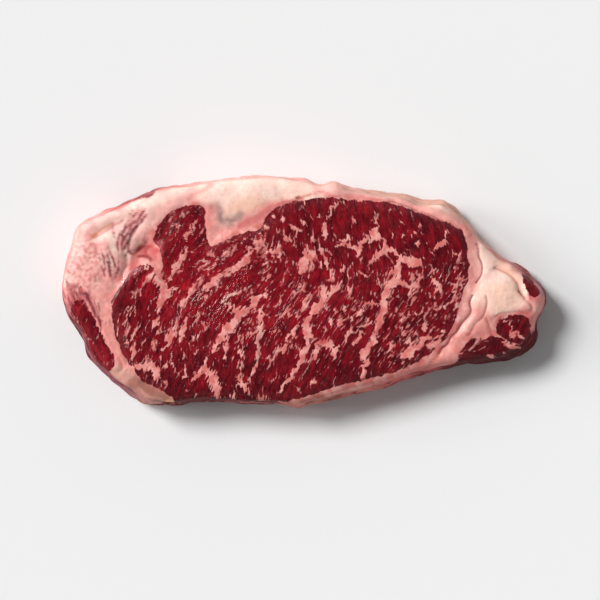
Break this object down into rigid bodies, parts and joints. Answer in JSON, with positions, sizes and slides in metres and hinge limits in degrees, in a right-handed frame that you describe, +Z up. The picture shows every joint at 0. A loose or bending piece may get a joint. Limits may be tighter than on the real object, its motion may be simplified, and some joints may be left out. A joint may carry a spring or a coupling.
{
  "type": "raw beef steak",
  "caption": "Raw, well-marbled strip loin steak: a flat slab with a fat cap, an eye muscle in its seam and a tapered, folded tail.",
  "frame": {"origin": "middle of the steak's plan, on the flat underside that it rests on", "axes": "+X along the length towards the tapered tail, +Y across towards the thick fat cap, +Z up out of the shown cut face"},
  "size_m": [0.23, 0.1108, 0.0266],
  "materials": {
    "raw_beef": "moist raw meat: dark red lean with pink marbling and a cream fat cap"
  },
  "bodies": {
    "root": {"steak": "raw_beef"}
  },
  "joints": []
}
